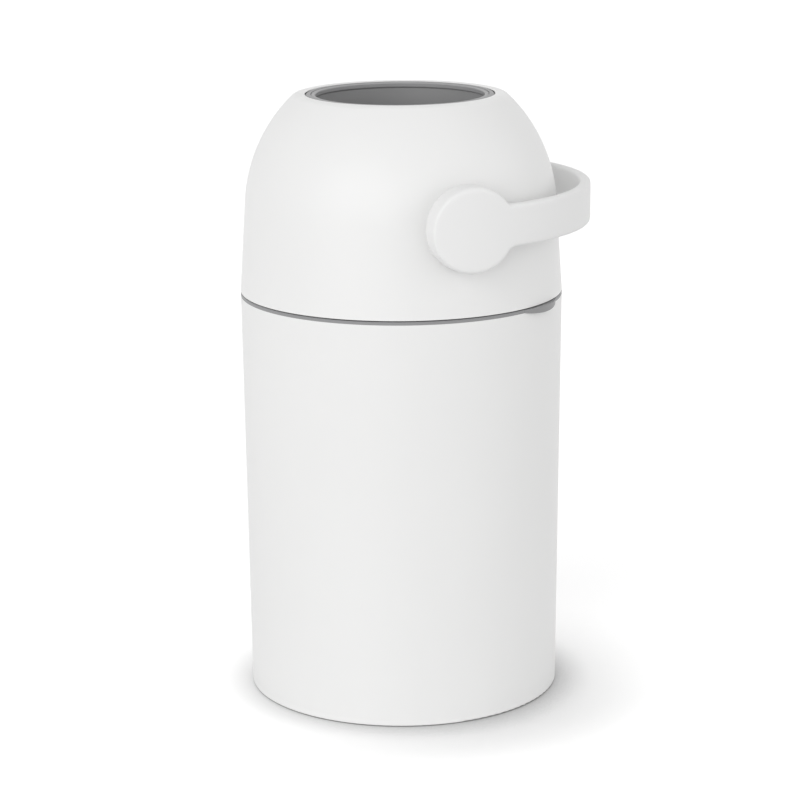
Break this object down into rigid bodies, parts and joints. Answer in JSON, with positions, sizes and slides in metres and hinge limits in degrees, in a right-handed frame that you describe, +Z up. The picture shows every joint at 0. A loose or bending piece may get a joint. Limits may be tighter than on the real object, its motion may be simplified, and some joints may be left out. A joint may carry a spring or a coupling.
{
  "type": "nappy bin",
  "caption": "Free-standing nappy bin: tapered bucket, hinged dome lid, ball-shaped drum turned by a side handle, falling piston.",
  "frame": {"origin": "on the bucket's axis, in the plane of the floor that the grip ring stands on", "axes": "+Z up along the bucket's axis; the drum turns about Y with the front hub at -Y; the handle's loop points to +X at rest"},
  "size_m": [0.315, 0.34, 0.5455],
  "materials": {
    "white_plastic": "satin moulded",
    "grey_plastic": "satin moulded",
    "pale_grey_plastic": "satin moulded",
    "dark_grey_plastic": "satin moulded",
    "black_rubber": "matt",
    "steel": "zinc plated"
  },
  "bodies": {
    "base": {"bin_body": "white_plastic", "grip_ring": "black_rubber", "bag_ring": "grey_plastic", "hinge_pin": "steel"},
    "lid": {"dome_shell": "white_plastic", "drum_housing": "pale_grey_plastic", "housing_screws": "steel", "mouth_seal": "black_rubber", "outlet_seal": "black_rubber", "lid_gasket": "black_rubber", "front_bearing": "pale_grey_plastic", "rear_bearing": "pale_grey_plastic"},
    "drum": {"drum_tube": "dark_grey_plastic", "drum_upper_shell": "white_plastic", "drum_lower_shell": "white_plastic", "upper_collar": "grey_plastic", "lower_collar": "grey_plastic", "upper_retaining_ring": "pale_grey_plastic", "lower_retaining_ring": "pale_grey_plastic", "front_trunnion": "pale_grey_plastic", "rear_trunnion": "pale_grey_plastic", "trunnion_screws": "steel", "handle": "white_plastic"},
    "piston": {"piston_lower_cup": "dark_grey_plastic", "piston_upper_cup": "dark_grey_plastic", "piston_weight": "steel", "lower_wiper": "black_rubber", "upper_wiper": "black_rubber"}
  },
  "joints": [
    {"name": "lid_hinge", "type": "hinge", "parent": "base", "child": "lid", "pos_m": [-0.0912, 0.12102, 0.3675], "axis": [-0.7986, -0.6018, 0], "range_deg": [0, 80]},
    {"name": "drum_turn", "type": "hinge", "parent": "lid", "child": "drum", "pos_m": [0, 0, 0.4485], "axis": [0, -1, 0], "range_deg": [0, 180]},
    {"name": "piston_slide", "type": "slide", "parent": "drum", "child": "piston", "axis": [0, 0, 1], "range_m": [0, 0.1424]}
  ]
}
